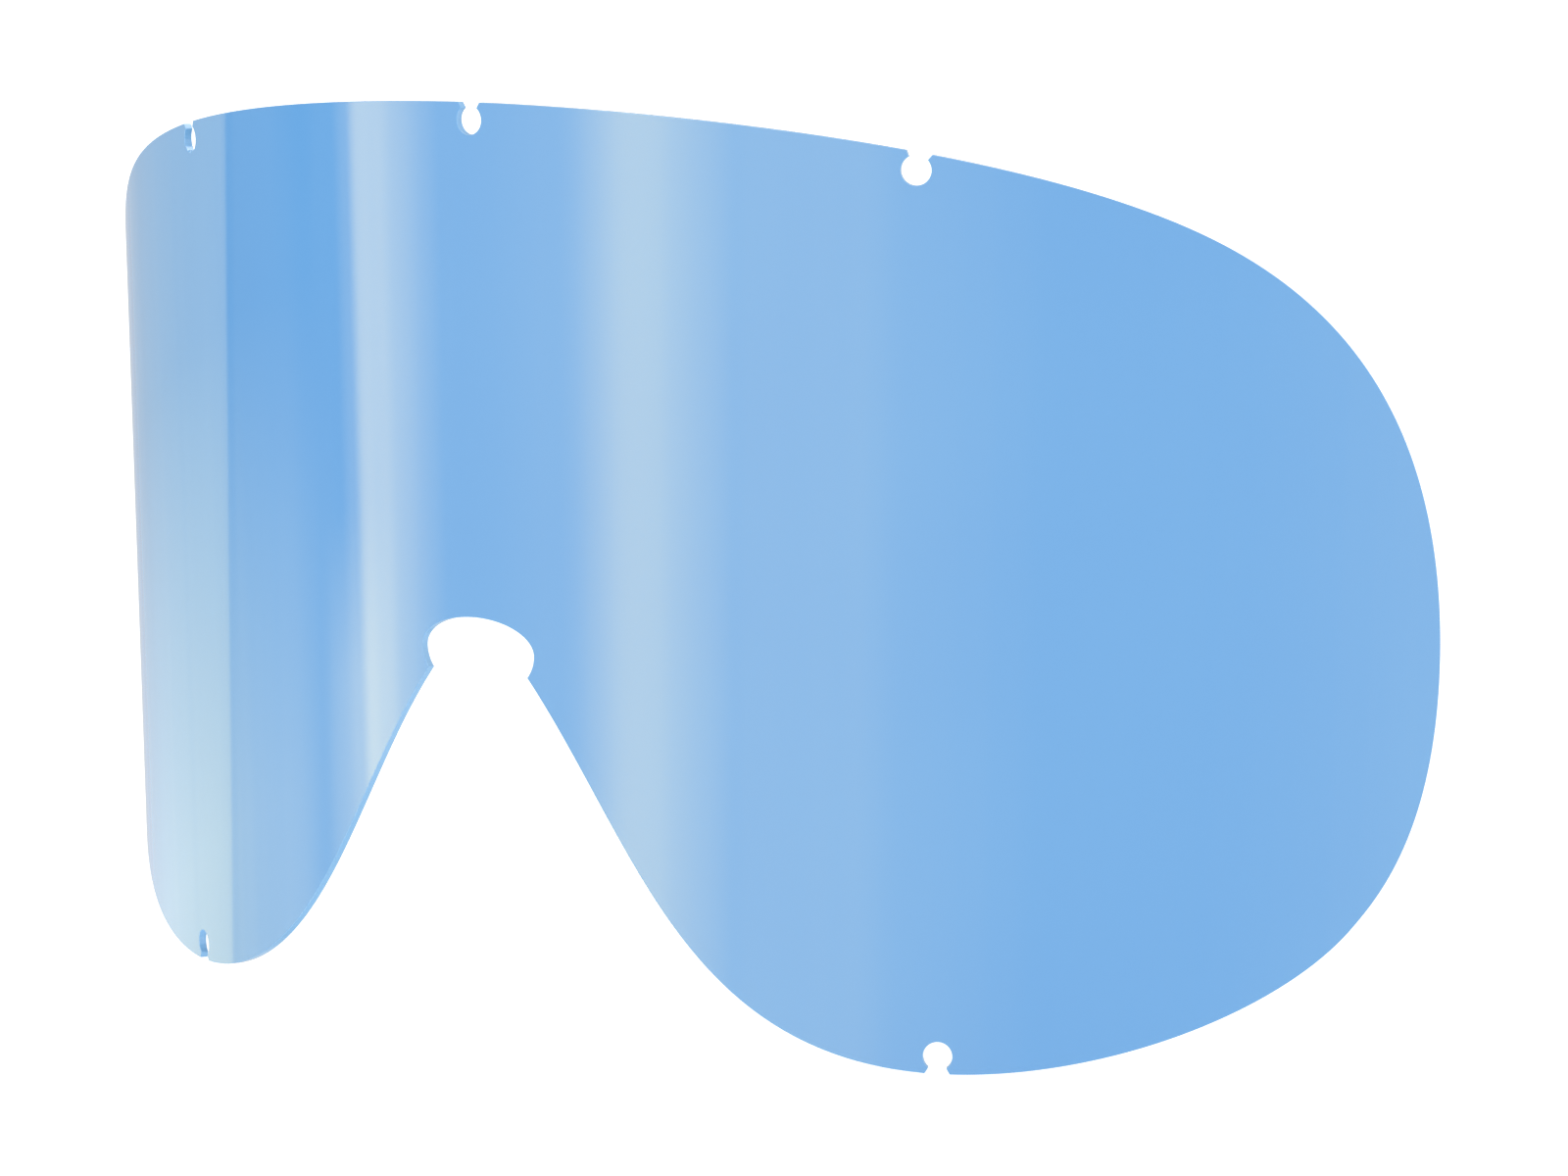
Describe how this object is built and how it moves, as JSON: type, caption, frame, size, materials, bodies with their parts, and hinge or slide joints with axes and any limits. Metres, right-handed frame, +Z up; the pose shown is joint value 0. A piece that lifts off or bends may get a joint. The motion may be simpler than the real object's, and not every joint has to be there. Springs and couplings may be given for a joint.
{
  "type": "ski goggle lens",
  "caption": "Curved blue mirrored double lens for ski goggles: outer pane with keyhole notches and a nose gap, foam spacer ring and clear inner pane behind it.",
  "frame": {"origin": "boxing centre of the lens: the middle of the outer pane's width and height, on its front face", "axes": "+X towards the wearer's left, -Y forward, away from the face, +Z up"},
  "size_m": [0.1862, 0.0542, 0.1045],
  "materials": {
    "mirror_pane": "polished polycarbonate sheet with a pale blue mirror coating",
    "clear_pane": "clear polished sheet with an anti-fog coating",
    "spacer_foam": "black closed-cell foam with skived edges",
    "bond_film": "double-sided adhesive film",
    "membrane": "white porous membrane"
  },
  "bodies": {
    "root": {"outer_pane": "mirror_pane", "front_bond_film": "bond_film", "foam_spacer": "spacer_foam", "rear_bond_film": "bond_film", "inner_pane": "clear_pane", "breather_disc": "membrane"}
  },
  "joints": []
}
